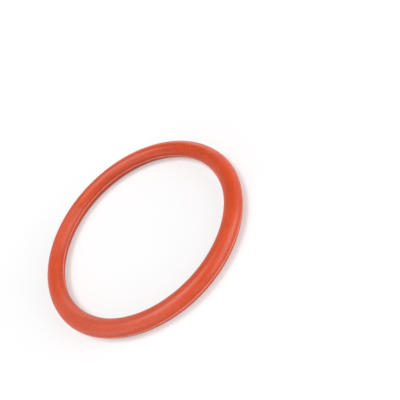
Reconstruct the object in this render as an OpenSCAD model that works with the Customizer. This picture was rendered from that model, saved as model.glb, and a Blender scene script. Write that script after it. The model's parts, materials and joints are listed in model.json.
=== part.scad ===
// Moulded silicone sealing ring with a round cord section.
// The ring lies flat: its centre is the origin, its axis is Z and its parting plane is Z = 0.

/* [Ring] */
// Diameter of the hole at the cord, before the ring is stretched over anything
inside_d = 56; // [20:0.5:120]
// Diameter of the round cord
cord_d = 5.3; // [2:0.1:8]

/* [Parting line] */
// How far the trimmed flash stands proud of the cord, inside and outside the ring
flash_h = 0.15; // [0.05:0.01:0.3]
// Width of the flat lip where the flash was trimmed
flash_lip = 0.2; // [0.1:0.01:0.4]
// Slope of each flank of the flash, in degrees away from the parting plane
flash_slope = 25; // [5:1:40]

/* [Look] */
// Colour of the silicone
silicone_colour = "#cf4d35"; // ["#cf4d35":Brick red, "#b8b4ac":Clear grey, "#2b2b2d":Black]

/* [Hidden] */
// Radius of the round cord
cord_r = cord_d / 2;
// Distance from the ring's axis to the middle of the cord
ring_r = inside_d / 2 + cord_r;
// How deep each flash section runs into the cord, so that the two join without a gap
flash_root = flash_h;
// Number of straight sides that a drawn circle is shown with
$fn = 180;

// The section of the flash outside the cord, as a wedge whose root is sunk in the cord
module flash_section() {
  lip_x = cord_r + flash_h;
  root_x = cord_r - flash_root;
  lip_y = flash_lip / 2;
  root_y = lip_y + (lip_x - root_x) * tan(flash_slope);
  polygon([[root_x, -root_y], [lip_x, -lip_y], [lip_x, lip_y], [root_x, root_y]]);
}

// One moulded piece: the cord, with a line of flash round its outside and, half a turn of the
// section away, one round its hole
module o_ring() {
  color(silicone_colour)
    rotate_extrude()
      translate([ring_r, 0]) {
        circle(d = cord_d);
        for (turn = [0, 180]) rotate(turn) flash_section();
      }
}

o_ring();
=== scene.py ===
"""A moulded silicone o-ring flat on a pale table, laid out as a Blender add-on and run as a script."""

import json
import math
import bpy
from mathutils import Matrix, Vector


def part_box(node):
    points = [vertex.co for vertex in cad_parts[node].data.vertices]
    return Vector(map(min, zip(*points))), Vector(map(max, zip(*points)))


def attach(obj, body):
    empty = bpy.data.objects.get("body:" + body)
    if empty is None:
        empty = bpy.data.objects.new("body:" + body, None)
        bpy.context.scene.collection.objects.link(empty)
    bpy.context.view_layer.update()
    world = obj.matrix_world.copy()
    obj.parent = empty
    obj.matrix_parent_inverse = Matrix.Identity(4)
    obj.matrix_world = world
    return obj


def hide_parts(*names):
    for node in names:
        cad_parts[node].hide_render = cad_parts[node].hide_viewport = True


bl_info = {
    "name": "Silicone O-Ring",
    "version": (1, 0, 0),
    "blender": (4, 5, 0),
    "location": "3D View > Sidebar > O-Ring",
    "description": "Moulds a silicone o-ring with its trimmed parting line and lays it on a pale table",
    "category": "Add Mesh",
}

from types import SimpleNamespace

import bmesh
import bpy
from bpy.props import FloatProperty, FloatVectorProperty, IntProperty, PointerProperty
from bpy.types import Operator, Panel, PropertyGroup
from mathutils import Quaternion, Vector

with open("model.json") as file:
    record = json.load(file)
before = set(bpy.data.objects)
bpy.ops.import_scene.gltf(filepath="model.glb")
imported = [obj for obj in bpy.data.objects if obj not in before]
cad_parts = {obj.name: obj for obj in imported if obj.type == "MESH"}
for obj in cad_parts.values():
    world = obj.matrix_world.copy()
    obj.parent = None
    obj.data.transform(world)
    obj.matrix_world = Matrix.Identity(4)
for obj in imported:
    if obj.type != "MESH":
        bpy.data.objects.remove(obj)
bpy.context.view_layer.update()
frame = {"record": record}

MM = 0.001
MERGE_DISTANCE = 0.001 * MM
SMOOTH_ANGLE = math.radians(35.0)
SIDEBAR_TAB = "O-Ring"
SILICONE_IOR = 1.42
WHITE = (1.0, 1.0, 1.0, 1.0)
# Nearest and farthest that the camera sees, in metres
CAMERA_CLIP = (0.005, 20.0)
# Sines of the elevations at which the white walls are gone, and at which they are still full
WALL_TOP = (0.60, 0.45)
# How far off each lamp hangs, in metres. Its light doesn't depend on it
LAMP_DISTANCE = 2.0
# Each lamp's azimuth, its elevation over the table and how wide it looks, in degrees
LAMP_PLACES = {
    "high": (160.0, 80.0, 36.0),
    "far_high": (140.0, 70.0, 36.0),
    "left": (210.0, 30.0, 36.0),
    "near_low": (-60.0, 5.0, 28.0),
    "right_low": (-30.0, 5.0, 28.0),
    "right_side": (-36.0, 32.0, 30.0),
    "left_low": (-175.0, 6.0, 30.0),
    "back": (62.0, 10.0, 30.0),
}
# Each noise's detail, and the seed that picks its pattern. The streaks take theirs from the height instead
NOISES = {
    "pigment": (4.0, 0.0),
    "pigment grains": (2.0, 7.7),
    "bloom cloud": (5.0, 102.5),
    "flow streaks": (2.0, None),
    "flash wander": (3.0, 11.3),
    "scuffs": (4.0, 17.9),
    "mould grain": (3.0, 23.5),
    "mould dimples": (1.0, 29.9),
}
# Where each noise starts to show as a pattern, and where it shows in full
PATCH_RANGE = (0.42, 0.62)
SPECKLE_RANGE = (0.45, 0.72)
BLOOM_RANGE = (0.42, 0.58)
STREAK_RANGE = (0.52, 0.72)
# How far in from the cord's middle, in shares of its radius, the painted shade on the hole's wall starts
# and is full
HOLE_SHADE = (0.70, 0.94)
# How thick the bloom, with its painted sheen, is between its clouds, and the share of its reach where it
# starts to thin out
BLOOM_AND_SHEEN_VEIL = 0.4
BLOOM_AND_SHEEN_FULL = 0.25
# Share of the dust cells that stay empty, and the edge of a speck in shares of a cell
SPECK_CHANCE = (0.80, 0.84)
SPECK_EDGE = (0.075, 0.045)
# Off the parting plane, in widths of the flash's root: where each band, the paler flash and the painted
# shade beside it, is gone, and where it is full
FLASH_BAND = (0.75, 0.45)
ROOT_SHADE_BAND = (1.3, 0.7)
# How far apart the flash is paler and fainter, and how pale it is where it is faintest
FLASH_WANDER_SIZE = 1.4 * MM
FLASH_LEAST = 0.35
# How many streaks wide a scuff is, and how much the scuffs change the roughness
SCUFF_WIDTH = 3.0
SCUFF_SPREAD = 0.16
# How much rougher the surface is in the bloom, on the flash and on a speck of dust
BLOOM_DULLS = 0.10
FLASH_DULLS = 0.15
DUST_DULLS = 0.30
# How high the streaks and the specks of dust stand, in heights of the fine grain
STREAK_RISE = 0.8
SPECK_RISE = 3.0
# How fine and how harsh the uneven trim of the flash is
TRIM_DETAIL = 3
TRIM_CONTRAST = 1.6
# Places of the factor and the two colours among a Mix node's inputs, and of its colour among the outputs
MIX_INPUTS = (0, 6, 7)
MIX_RESULT = 2


def seat_radius(name):
    """Radius of one of the ring's two seats, in metres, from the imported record."""
    for mount in frame["record"]["mounts"]:
        if mount["name"] == name:
            return mount["dims"]["r_mm"] * MM
    raise RuntimeError(f"the packed record has no mount named {name}")


RING_LOW, RING_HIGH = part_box("o_ring")
HOLE_LIP_R = seat_radius("inside_seat")
OUTER_LIP_R = seat_radius("outside_seat")
RING_R = (HOLE_LIP_R + OUTER_LIP_R) / 2
CORD_R = (RING_HIGH.z - RING_LOW.z) / 2
FLASH_HEIGHT = OUTER_LIP_R - RING_R - CORD_R


class RingSizes(PropertyGroup):
    """Sizes of the moulded ring."""

    ring_radius: FloatProperty(
        name="Ring radius",
        description="From the ring's axis to the middle of the cord",
        default=RING_R,
        unit="LENGTH",
    )
    cord_radius: FloatProperty(
        name="Cord radius",
        description="Half of the round cord's diameter",
        default=CORD_R,
        unit="LENGTH",
    )
    flash_height: FloatProperty(
        name="Flash height",
        description="How far the trimmed flash stands proud of the cord",
        default=FLASH_HEIGHT,
        unit="LENGTH",
    )
    flash_root: FloatProperty(
        name="Flash root",
        description="Width of the flash where it leaves the cord",
        default=0.34 * MM,
        unit="LENGTH",
    )
    flash_lip: FloatProperty(
        name="Flash lip",
        description="Width of the trimmed lip of the flash",
        default=0.2 * MM,
        unit="LENGTH",
    )
    trim_depth: FloatProperty(
        name="Uneven trim",
        description="How much lower the flash was trimmed at its lowest places",
        default=0.06 * MM,
        unit="LENGTH",
    )
    trim_wave: FloatProperty(
        name="Trim wave",
        description="Rough distance between a low and a high place along the trimmed lip",
        default=2.2 * MM,
        unit="LENGTH",
    )
    steps_round_ring: IntProperty(
        name="Steps round the ring",
        description="Mesh steps round the ring",
        default=600,
        min=48,
    )
    steps_round_cord: IntProperty(
        name="Steps round the cord",
        description="Mesh steps round the cord's section, in fours so that both equators have an edge",
        default=56,
        min=16,
    )


class RingFinish(PropertyGroup):
    """Colours and surface of the silicone."""

    silicone: FloatVectorProperty(
        name="Silicone",
        description="Main colour of the silicone",
        subtype="COLOR",
        default=(0.65, 0.067, 0.010),
    )
    silicone_deep: FloatVectorProperty(
        name="Deeper silicone",
        description="Colour of the grains and patches with more pigment",
        subtype="COLOR",
        default=(0.45, 0.031, 0.004),
    )
    patch_share: FloatProperty(
        name="Patch share",
        description="How strongly the wide patches take the deeper colour",
        subtype="FACTOR",
        default=0.22,
        min=0.0,
        max=1.0,
    )
    speckle_share: FloatProperty(
        name="Speckle share",
        description="How strongly the fine grains of pigment take the deeper colour",
        subtype="FACTOR",
        default=0.50,
        min=0.0,
        max=1.0,
    )
    # Painted shade: the deeper colour on the wall of the hole stands in for the shade that falls on it
    hole_shade_share: FloatProperty(
        name="Hole wall share",
        description="How strongly the wall of the hole, where no bloom forms, takes the deeper colour",
        subtype="FACTOR",
        default=0.28,
        min=0.0,
        max=1.0,
    )
    # Bloom with painted sheen: a paler, pinker colour, real bloom in its clouds and painted sheen over the
    # -X side
    bloom_and_sheen: FloatVectorProperty(
        name="Bloom",
        description="Colour of the powdery bloom that dulls the surface in places",
        subtype="COLOR",
        default=(0.66, 0.136, 0.086),
    )
    bloom_and_sheen_share: FloatProperty(
        name="Bloom share",
        description="How strongly the bloom covers the patches that it lies on",
        subtype="FACTOR",
        default=0.33,
        min=0.0,
        max=1.0,
    )
    # Painted sheen: the bloom's colour covers the -X side in full, standing in for sheen there
    bloom_and_sheen_reach: FloatProperty(
        name="Bloom reach",
        description="How far past the ring's middle, along X, the bloom of the -X side reaches",
        default=31.0 * MM,
        unit="LENGTH",
    )
    bloom_size: FloatProperty(
        name="Bloom size",
        description="Rough size of the clouds in the bloom",
        default=10.2 * MM,
        unit="LENGTH",
    )
    streak_share: FloatProperty(
        name="Streak share",
        description="How strongly the flow streaks take the colour of the bloom",
        subtype="FACTOR",
        default=0.20,
        min=0.0,
        max=1.0,
    )
    flash: FloatVectorProperty(
        name="Flash",
        description="Paler colour of the thin trimmed flash",
        subtype="COLOR",
        default=(0.86, 0.24, 0.15),
    )
    # Painted shade: the darker band beside the flash stands in for the shade in the crease at the flash's
    # root
    flash_root: FloatVectorProperty(
        name="Flash root",
        description="Colour of the narrow band beside the flash, where grime stays",
        subtype="COLOR",
        default=(0.44, 0.036, 0.012),
    )
    root_shade_share: FloatProperty(
        name="Root share",
        description="How strongly the band beside the flash takes its darker colour",
        subtype="FACTOR",
        default=0.40,
        min=0.0,
        max=1.0,
    )
    dust: FloatVectorProperty(
        name="Dust",
        description="Colour of the few specks of dust that cling to the silicone",
        subtype="COLOR",
        default=(0.84, 0.48, 0.38),
    )
    patch_size: FloatProperty(
        name="Patch size",
        description="Rough size of the patches with more pigment",
        default=6.0 * MM,
        unit="LENGTH",
    )
    speckle_size: FloatProperty(
        name="Speckle size",
        description="Rough size of the grains of pigment",
        default=0.6 * MM,
        unit="LENGTH",
        precision=5,
    )
    streak_width: FloatProperty(
        name="Streak width",
        description="Width of the faint flow streaks that run along the cord",
        default=0.35 * MM,
        unit="LENGTH",
        precision=5,
    )
    streak_stretch: FloatProperty(
        name="Streak stretch",
        description="How many times longer than wide a flow streak is",
        default=22.0,
        min=1.0,
    )
    speck_spacing: FloatProperty(
        name="Speck spacing",
        description="Size of the cells of which a few hold a speck of dust",
        default=3.0 * MM,
        unit="LENGTH",
    )
    roughness: FloatProperty(
        name="Roughness",
        description="Roughness of the satin surface where it is clean",
        subtype="FACTOR",
        default=0.33,
        min=0.0,
        max=1.0,
    )
    grain_size: FloatProperty(
        name="Grain size",
        description="Size of the fine grain that the mould leaves",
        default=0.14 * MM,
        unit="LENGTH",
        precision=5,
    )
    grain_height: FloatProperty(
        name="Grain height",
        description="Height of the fine grain that the mould leaves",
        default=0.006 * MM,
        unit="LENGTH",
        precision=6,
    )
    peel_size: FloatProperty(
        name="Peel size",
        description="Size of the soft dimples, like those of orange peel, that the mould leaves",
        default=0.9 * MM,
        unit="LENGTH",
        precision=5,
    )
    peel_height: FloatProperty(
        name="Peel height",
        description="Height of the soft dimples that the mould leaves",
        default=0.018 * MM,
        unit="LENGTH",
        precision=6,
    )


class StageSizes(PropertyGroup):
    """The table, the room and the camera."""

    table_width: FloatProperty(
        name="Table width",
        description="Side of the square table top",
        default=4.0,
        unit="LENGTH",
    )
    table_colour: FloatVectorProperty(
        name="Table colour",
        description="Colour of the table top",
        subtype="COLOR",
        default=(0.55, 0.55, 0.55),
    )
    table_lift: FloatProperty(
        name="Table lift",
        description="How much the seen table is lifted towards white",
        default=0.44,
        min=0.0,
    )
    camera_place: FloatVectorProperty(
        name="Camera place",
        description="Where the camera stands",
        subtype="TRANSLATION",
        default=(0.0, -0.1278, 0.1119),
    )
    camera_aim: FloatVectorProperty(
        name="Camera aim",
        description="Point of the table plane through the ring's middle that the camera looks at",
        subtype="TRANSLATION",
        default=(0.01825, -0.00959, 0.0),
    )
    camera_roll: FloatProperty(
        name="Camera roll",
        description="Turn of the camera about its line of sight",
        subtype="ANGLE",
        default=math.radians(-40.3),
    )
    camera_lens: FloatProperty(
        name="Lens",
        description="Focal length of the camera, in millimetres",
        default=51.3,
        min=10.0,
    )
    room_light: FloatProperty(
        name="Room light",
        description="Strength of the even white light from all round",
        default=0.10,
        min=0.0,
    )


class SoftLamps(PropertyGroup):
    """Strengths of the broad, soft, white lamps round the ring."""

    high: FloatProperty(
        name="High lamp",
        description="Strength of the broad lamp that hangs nearly overhead",
        default=1.45,
        min=0.0,
    )
    far_high: FloatProperty(
        name="Far high lamp",
        description="Strength of the high lamp on the far left",
        default=0.60,
        min=0.0,
    )
    left: FloatProperty(
        name="Left lamp",
        description="Strength of the broad lamp on the left",
        default=0.43,
        min=0.0,
    )
    near_low: FloatProperty(
        name="Near low lamp",
        description="Strength of the broad lamp just over the table on the near side",
        default=1.10,
        min=0.0,
    )
    right_low: FloatProperty(
        name="Right low lamp",
        description="Strength of the broad lamp just over the table on the right",
        default=1.15,
        min=0.0,
    )
    right_side: FloatProperty(
        name="Right side lamp",
        description="Strength of the broad lamp over the camera's right shoulder",
        default=0.72,
        min=0.0,
    )
    left_low: FloatProperty(
        name="Left low lamp",
        description="Strength of the broad lamp just over the table on the left",
        default=0.62,
        min=0.0,
    )
    back: FloatProperty(
        name="Back lamp",
        description="Strength of the low lamp behind the ring that brightens its far edges",
        default=0.27,
        min=0.0,
    )


def deselect_all():
    """Leave edit mode and select nothing."""
    if bpy.context.mode != "OBJECT":
        bpy.ops.object.mode_set(mode="OBJECT")
    bpy.ops.object.select_all(action="DESELECT")


def select_faces(chosen):
    """In edit mode, select just the faces for which chosen(face) is true."""
    mesh = bpy.context.edit_object.data
    bpy.ops.mesh.select_mode(type="FACE")
    bpy.ops.mesh.select_all(action="DESELECT")
    edit = bmesh.from_edit_mesh(mesh)
    for face in edit.faces:
        face.select_set(chosen(face))
    edit.select_flush_mode()
    bmesh.update_edit_mesh(mesh)


def cut_level(height):
    """In edit mode, cut the whole mesh along the level plane at this height."""
    bpy.ops.mesh.select_all(action="SELECT")
    bpy.ops.mesh.bisect(plane_co=(0.0, 0.0, height), plane_no=(0.0, 0.0, 1.0))


def add_cord(sizes):
    """The bare round cord: its section, stood upright beside the axis and spun right round it."""
    deselect_all()
    bpy.ops.mesh.primitive_circle_add(
        vertices=sizes.steps_round_cord,
        radius=sizes.cord_radius,
        location=(sizes.ring_radius, 0.0, 0.0),
        rotation=(math.radians(90.0), 0.0, 0.0),
    )
    ring = bpy.context.active_object
    ring.name = ring.data.name = "silicone_ring"
    bpy.ops.object.transform_apply(location=True, rotation=True, scale=True)
    bpy.ops.object.mode_set(mode="EDIT")
    bpy.ops.mesh.select_all(action="SELECT")
    bpy.ops.mesh.spin(
        steps=sizes.steps_round_ring,
        angle=math.tau,
        center=(0.0, 0.0, 0.0),
        axis=(0.0, 0.0, 1.0),
    )
    bpy.ops.mesh.select_all(action="SELECT")
    bpy.ops.mesh.remove_doubles(threshold=MERGE_DISTANCE)
    bpy.ops.mesh.normals_make_consistent(inside=False)
    return ring


def raise_flash(sizes):
    """Raise the trimmed flash from the band of cord at both equators, outside and inside the ring."""
    half_root = sizes.flash_root / 2
    for side in (-1, 1):
        cut_level(side * half_root)
    select_faces(lambda face: abs(face.calc_center_median().z) < half_root)
    bpy.ops.mesh.extrude_region_shrink_fatten(
        TRANSFORM_OT_shrink_fatten={"value": sizes.flash_height}
    )
    bpy.ops.transform.resize(
        value=(1.0, 1.0, sizes.flash_lip / sizes.flash_root), center_override=(0.0, 0.0, 0.0)
    )


def group_lip(ring):
    """Put the selected faces' corners in a vertex group that the uneven trim works on."""
    group = ring.vertex_groups.new(name="trimmed_lip")
    ring.vertex_groups.active_index = group.index
    bpy.ops.object.vertex_group_assign()
    return group.name


def wear_lip(ring, group, sizes):
    """Lower the trimmed lip unevenly, as a hand-trimmed or tumbled flash is."""
    wave = bpy.data.textures.new("trim_wave", type="CLOUDS")
    wave.noise_scale = sizes.trim_wave
    wave.noise_depth = TRIM_DETAIL
    wave.contrast = TRIM_CONTRAST
    trim = ring.modifiers.new("Uneven trim", type="DISPLACE")
    trim.texture = wave
    trim.texture_coords = "LOCAL"
    trim.vertex_group = group
    trim.direction = "NORMAL"
    trim.strength = sizes.trim_depth
    trim.mid_level = 1.0
    bpy.ops.object.modifier_apply(modifier=trim.name)


def model_ring(sizes):
    """Model the ring from a round cord to its trimmed parting line."""
    ring = add_cord(sizes)
    raise_flash(sizes)
    lip = group_lip(ring)
    bpy.ops.object.mode_set(mode="OBJECT")
    wear_lip(ring, lip, sizes)
    bpy.ops.object.mode_set(mode="EDIT")
    bpy.ops.mesh.select_all(action="SELECT")
    bpy.ops.mesh.normals_make_consistent(inside=False)
    bpy.ops.object.mode_set(mode="OBJECT")
    bpy.ops.object.shade_smooth_by_angle(angle=SMOOTH_ANGLE)
    return ring


class ORING_OT_mould_ring(Operator):
    """Mould the silicone ring in place of the plain CAD solid"""

    bl_idname = "oring.mould_ring"
    bl_label = "Mould Ring"
    bl_options = {"REGISTER", "UNDO"}

    def execute(self, context):
        ring = model_ring(context.scene.oring_sizes)
        ring.data.materials.clear()
        material = silicone_material(context.scene.oring_sizes, context.scene.oring_finish)
        ring.data.materials.append(material)
        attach(ring, "root")
        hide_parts("o_ring")
        return {"FINISHED"}


def add_node(tree, kind, label, inputs=None, **settings):
    """Add a labelled node. Each input takes a constant, or a socket that is linked to it."""
    node = tree.nodes.new(kind)
    node.label = label
    for name, value in settings.items():
        setattr(node, name, value)
    for name, value in (inputs or {}).items():
        if isinstance(value, bpy.types.NodeSocket):
            tree.links.new(value, node.inputs[name])
        else:
            node.inputs[name].default_value = value
    return node


def calculate(tree, label, operation, *values):
    """The result of one sum on constants or sockets."""
    node = add_node(tree, "ShaderNodeMath", label, dict(enumerate(values)), operation=operation)
    return node.outputs["Value"]


def ramp(tree, label, value, start, end):
    """A value brought smoothly to 0 at start and 1 at end."""
    node = add_node(
        tree,
        "ShaderNodeMapRange",
        label,
        {"Value": value, "From Min": start, "From Max": end},
        interpolation_type="SMOOTHSTEP",
    )
    return node.outputs["Result"]


def tint(tree, label, amount, under, over):
    """Colour under, covered with colour over by this amount."""
    node = add_node(tree, "ShaderNodeMix", label, data_type="RGBA", clamp_factor=True)
    for place, value in zip(MIX_INPUTS, (amount, under, over)):
        if isinstance(value, bpy.types.NodeSocket):
            tree.links.new(value, node.inputs[place])
        else:
            node.inputs[place].default_value = value
    return node.outputs[MIX_RESULT]


def noise(tree, label, place, size, seed=None):
    """Noise whose patches are about this size, in metres. A given seed takes the place of its own."""
    detail, own_seed = NOISES[label]
    chosen_seed = own_seed if seed is None else seed
    node = add_node(
        tree,
        "ShaderNodeTexNoise",
        label,
        {"Vector": place, "W": chosen_seed, "Scale": 1.0 / size, "Detail": detail},
        noise_dimensions="4D",
    )
    return node.outputs["Fac"]


def places_on_ring(tree, sizes, finish):
    """Sockets for a point's place, x, height, way out from the cord's middle, and place along the cord."""
    place = add_node(tree, "ShaderNodeTexCoord", "place").outputs["Object"]
    x, y, height = add_node(tree, "ShaderNodeSeparateXYZ", "split place", {"Vector": place}).outputs
    y_squared = calculate(tree, "y squared", "MULTIPLY", y, y)
    out_squared = calculate(tree, "distance squared", "MULTIPLY_ADD", x, x, y_squared)
    out = calculate(tree, "distance from axis", "SQRT", out_squared)
    turn = calculate(tree, "radius over stretch", "DIVIDE", sizes.ring_radius / finish.streak_stretch, out)
    off_middle = calculate(tree, "out from the cord's middle", "SUBTRACT", out, sizes.ring_radius)
    drawn_out = {
        "X": calculate(tree, "x drawn out", "MULTIPLY", x, turn),
        "Y": calculate(tree, "y drawn out", "MULTIPLY", y, turn),
        "Z": off_middle,
    }
    along = add_node(tree, "ShaderNodeCombineXYZ", "place drawn out along the cord", drawn_out)
    return place, x, height, off_middle, along.outputs["Vector"]


def bloom_and_sheen_pattern(tree, finish, place, x):
    """Cloudy bloom in an even veil, with painted sheen: full on the -X side of the ring, the side painted
    paler, and gone at the end of its reach.
    """
    cloud = noise(tree, "bloom cloud", place, finish.bloom_size)
    patches = ramp(tree, "bloom patches", cloud, *BLOOM_RANGE)
    veiled = calculate(tree, "patches in a veil", "MULTIPLY_ADD", patches, 1.0 - BLOOM_AND_SHEEN_VEIL, BLOOM_AND_SHEEN_VEIL)
    reach = finish.bloom_and_sheen_reach
    side = ramp(tree, "bloom fades towards +X", x, reach, BLOOM_AND_SHEEN_FULL * reach)
    return calculate(tree, "bloom of this side", "MULTIPLY", veiled, side)


def parting_band(tree, label, sizes, level, edges):
    """1 beside the parting plane and 0 away from it, with edges in widths of the flash's root."""
    gone, full = (edge * sizes.flash_root for edge in edges)
    return ramp(tree, label, level, gone, full)


def flash_pattern(tree, sizes, place, level):
    """1 on the flash and 0 off it, fainter where the flash was trimmed closer."""
    near = parting_band(tree, "on the flash", sizes, level, FLASH_BAND)
    wander = noise(tree, "flash wander", place, FLASH_WANDER_SIZE)
    share = calculate(tree, "flash share", "ADD", wander, FLASH_LEAST)
    return calculate(tree, "flash", "MULTIPLY", near, share)


def dust_pattern(tree, finish, place):
    """Small round specks, one in each of a few scattered cells."""
    cell_inputs = {"Vector": place, "Scale": 1.0 / finish.speck_spacing}
    cells = add_node(tree, "ShaderNodeTexVoronoi", "dust cells", cell_inputs)
    chance = add_node(tree, "ShaderNodeSeparateColor", "cell chance", {"Color": cells.outputs["Color"]})
    holds = ramp(tree, "cells with a speck", chance.outputs["Red"], *SPECK_CHANCE)
    near = ramp(tree, "near a speck", cells.outputs["Distance"], *SPECK_EDGE)
    return calculate(tree, "specks", "MULTIPLY", holds, near)


def silicone_patterns(tree, sizes, finish):
    """The patterns that the finish is made of, by name, each a socket from about 0 to 1."""
    place, x, height, off_middle, along = places_on_ring(tree, sizes, finish)
    level = calculate(tree, "off the parting plane", "ABSOLUTE", height)
    streak_seed = calculate(tree, "height in streak widths", "DIVIDE", height, finish.streak_width)
    pigment = noise(tree, "pigment", place, finish.patch_size)
    grains = noise(tree, "pigment grains", place, finish.speckle_size)
    streaks = noise(tree, "flow streaks", along, finish.streak_width, streak_seed)
    hole_start, hole_full = (-share * sizes.cord_radius for share in HOLE_SHADE)
    return SimpleNamespace(
        patches=ramp(tree, "deeper patches", pigment, *PATCH_RANGE),
        speckle=ramp(tree, "pigment speckle", grains, *SPECKLE_RANGE),
        # Bloom and painted sheen, paler over the -X side
        bloom_and_sheen=bloom_and_sheen_pattern(tree, finish, place, x),
        # Painted shade on the wall of the hole
        hole_shade=ramp(tree, "wall of the hole", off_middle, hole_start, hole_full),
        streaks=streaks,
        streak_lines=ramp(tree, "streak lines", streaks, *STREAK_RANGE),
        # Painted shade beside the flash
        root=parting_band(tree, "beside the flash", sizes, level, ROOT_SHADE_BAND),
        flash=flash_pattern(tree, sizes, place, level),
        specks=dust_pattern(tree, finish, place),
        scuffs=noise(tree, "scuffs", along, SCUFF_WIDTH * finish.streak_width),
        grain=noise(tree, "mould grain", place, finish.grain_size),
        peel=noise(tree, "mould dimples", place, finish.peel_size),
    )


def silicone_colour(tree, finish, patterns):
    """Base colour: thin layers over the plain silicone, from the pigment in it to the dust on it, with
    painted sheen and shade.
    """
    layers = (
        ("pigment patches", patterns.patches, finish.patch_share, finish.silicone_deep),
        ("pigment speckle", patterns.speckle, finish.speckle_share, finish.silicone_deep),
        # Bloom and painted sheen over the -X side
        ("bloom_and_sheen", patterns.bloom_and_sheen, finish.bloom_and_sheen_share, finish.bloom_and_sheen),
        ("flow streaks", patterns.streak_lines, finish.streak_share, finish.bloom_and_sheen),
        # Painted shade on the wall of the hole
        ("hole wall", patterns.hole_shade, finish.hole_shade_share, finish.silicone_deep),
        # Painted shade beside the flash
        ("flash root", patterns.root, finish.root_shade_share, finish.flash_root),
        ("paler flash", patterns.flash, 1.0, finish.flash),
        ("dust", patterns.specks, 1.0, finish.dust),
    )
    colour = (*finish.silicone, 1.0)
    for label, where, share, over in layers:
        cover = calculate(tree, f"{label} cover", "MULTIPLY", where, share)
        colour = tint(tree, label, cover, colour, (*over, 1.0))
    return colour


def silicone_roughness(tree, finish, patterns):
    """Roughness: satin with faint scuffs along the cord, duller in the bloom, on the flash and on dust."""
    least = finish.roughness - SCUFF_SPREAD / 2
    rough = calculate(tree, "scuffed", "MULTIPLY_ADD", patterns.scuffs, SCUFF_SPREAD, least)
    rough = calculate(tree, "duller in bloom", "MULTIPLY_ADD", patterns.bloom_and_sheen, BLOOM_DULLS, rough)
    rough = calculate(tree, "duller on flash", "MULTIPLY_ADD", patterns.flash, FLASH_DULLS, rough)
    return calculate(tree, "duller on dust", "MULTIPLY_ADD", patterns.specks, DUST_DULLS, rough)


def silicone_relief(tree, finish, patterns):
    """Relief of the surface as a normal, its heights in metres."""
    heights = (
        ("fine grain", patterns.grain, finish.grain_height),
        ("soft dimples", patterns.peel, finish.peel_height),
        ("flow streaks", patterns.streaks, STREAK_RISE * finish.grain_height),
        ("raised specks", patterns.specks, SPECK_RISE * finish.grain_height),
    )
    relief = 0.0
    for label, where, height in heights:
        relief = calculate(tree, label, "MULTIPLY_ADD", where, height, relief)
    bump = add_node(tree, "ShaderNodeBump", "surface relief", {"Height": relief, "Distance": 1.0})
    return bump.outputs["Normal"]


def silicone_material(sizes, finish):
    """Satin moulded silicone: speckled pigment, flow streaks, bloom with painted sheen, painted shade,
    dust, paler parting line.
    """
    material = bpy.data.materials.new("satin_silicone")
    material.use_nodes = True
    tree = material.node_tree
    shader = tree.nodes["Principled BSDF"]
    shader.inputs["IOR"].default_value = SILICONE_IOR
    patterns = silicone_patterns(tree, sizes, finish)
    tree.links.new(silicone_colour(tree, finish, patterns), shader.inputs["Base Color"])
    tree.links.new(silicone_roughness(tree, finish, patterns), shader.inputs["Roughness"])
    tree.links.new(silicone_relief(tree, finish, patterns), shader.inputs["Normal"])
    return material


def seen_directly(tree):
    """1 for rays from the camera, from gloss and through glass, 0 for the light that lands on things."""
    ray = add_node(tree, "ShaderNodeLightPath", "kind of ray").outputs
    seen = calculate(tree, "camera or gloss", "MAXIMUM", ray["Is Camera Ray"], ray["Is Glossy Ray"])
    return calculate(tree, "or glass", "MAXIMUM", seen, ray["Is Transmission Ray"])


def table_material(stage):
    """Plain matt table top, lifted to white where it is seen, that keeps the ring's shadow."""
    material = bpy.data.materials.new("pale_table")
    material.use_nodes = True
    tree = material.node_tree
    shader = tree.nodes["Principled BSDF"]
    shader.inputs["Base Color"].default_value = (*stage.table_colour, 1.0)
    shader.inputs["Roughness"].default_value = 1.0
    shader.inputs["Specular IOR Level"].default_value = 0.0
    shader.inputs["Emission Color"].default_value = WHITE
    lift = calculate(tree, "lift to white", "MULTIPLY", seen_directly(tree), stage.table_lift)
    tree.links.new(lift, shader.inputs["Emission Strength"])
    return material


def lay_table(stage):
    """The table top, level with the underside of the ring."""
    deselect_all()
    bpy.ops.mesh.primitive_plane_add(size=stage.table_width, location=(0.0, 0.0, RING_LOW.z))
    table = bpy.context.active_object
    table.name = "table_top"
    table.data.materials.append(table_material(stage))


def light_room(stage):
    """Even white light from all round, and plain white walls for the camera, in gloss and through glass."""
    world = bpy.data.worlds.new("white_room")
    bpy.context.scene.world = world
    world.use_nodes = True
    tree = world.node_tree
    room = tree.nodes["Background"]
    room.inputs["Color"].default_value = WHITE
    direction = add_node(tree, "ShaderNodeTexCoord", "direction").outputs["Generated"]
    rise = add_node(tree, "ShaderNodeSeparateXYZ", "split direction", {"Vector": direction}).outputs["Z"]
    walls = ramp(tree, "white walls", rise, *WALL_TOP)
    seen_walls = calculate(tree, "walls seen", "MULTIPLY", walls, seen_directly(tree))
    light = stage.room_light
    strength = calculate(tree, "room light or white", "MULTIPLY_ADD", seen_walls, 1.0 - light, light)
    tree.links.new(strength, room.inputs["Strength"])


def hang_lamp(name, strength, azimuth, elevation, spread):
    """A soft, white, far lamp. Its azimuth is turned from X towards Y; its spread is how wide it looks."""
    data = bpy.data.lights.new(name, type="SUN")
    data.energy = strength
    data.angle = math.radians(spread)
    lamp = bpy.data.objects.new(name, data)
    bpy.context.scene.collection.objects.link(lamp)
    tip = math.radians(90.0 - elevation)
    lamp.rotation_euler = (0.0, tip, math.radians(azimuth))
    comes_from = lamp.rotation_euler.to_matrix() @ Vector((0.0, 0.0, 1.0))
    lamp.location = comes_from * LAMP_DISTANCE


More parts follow.
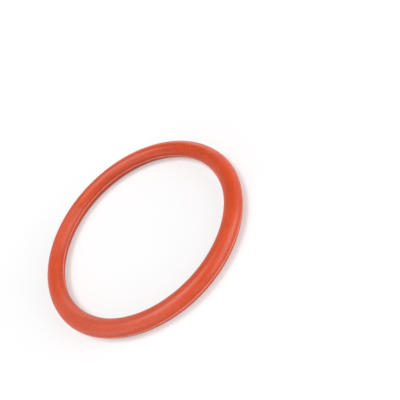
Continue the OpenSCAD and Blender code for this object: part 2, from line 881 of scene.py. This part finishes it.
def place_camera(stage):
    """The camera, rolled about its line of sight."""
    data = bpy.data.cameras.new("camera")
    data.lens = stage.camera_lens
    data.clip_start, data.clip_end = CAMERA_CLIP
    camera = bpy.data.objects.new("camera", data)
    bpy.context.scene.collection.objects.link(camera)
    place, aim = Vector(stage.camera_place), Vector(stage.camera_aim)
    level = (aim - place).to_track_quat("-Z", "Y")
    camera.location = place
    camera.rotation_euler = (level @ Quaternion((0.0, 0.0, 1.0), stage.camera_roll)).to_euler()
    bpy.context.scene.camera = camera


class ORING_OT_set_stage(Operator):
    """Lay the table, light it and place the camera"""

    bl_idname = "oring.set_stage"
    bl_label = "Set Stage"
    bl_options = {"REGISTER", "UNDO"}

    def execute(self, context):
        stage = context.scene.oring_stage
        context.scene.view_settings.view_transform = "Standard"
        lay_table(stage)
        light_room(stage)
        lamps = context.scene.oring_lamps
        for name, place in LAMP_PLACES.items():
            hang_lamp(f"{name}_lamp", getattr(lamps, name), *place)
        place_camera(stage)
        return {"FINISHED"}


class ORING_PT_sidebar(Panel):
    """Sizes, colours and steps of the o-ring"""

    bl_label = "Silicone O-Ring"
    bl_idname = "ORING_PT_sidebar"
    bl_space_type = "VIEW_3D"
    bl_region_type = "UI"
    bl_category = SIDEBAR_TAB

    def draw(self, context):
        layout = self.layout
        for group in GROUPS:
            settings = getattr(context.scene, group)
            box = layout.box()
            for name in settings.__annotations__:
                box.prop(settings, name)
        for step in STEPS:
            layout.operator(step.bl_idname)


GROUPS = {
    "oring_sizes": RingSizes,
    "oring_finish": RingFinish,
    "oring_stage": StageSizes,
    "oring_lamps": SoftLamps,
}
STEPS = (ORING_OT_mould_ring, ORING_OT_set_stage)


def register():
    """Register the settings, the steps and the panel."""
    for kind in (*GROUPS.values(), *STEPS, ORING_PT_sidebar):
        bpy.utils.register_class(kind)
    for name, kind in GROUPS.items():
        setattr(bpy.types.Scene, name, PointerProperty(type=kind))


def unregister():
    """Undo register."""
    for name in GROUPS:
        delattr(bpy.types.Scene, name)
    for kind in (ORING_PT_sidebar, *reversed(STEPS), *reversed(GROUPS.values())):
        bpy.utils.unregister_class(kind)


def main():
    """Build the ring and its stage in order."""
    register()
    bpy.ops.oring.set_stage()
    bpy.ops.oring.mould_ring()


if __name__ == "__main__":
    main()
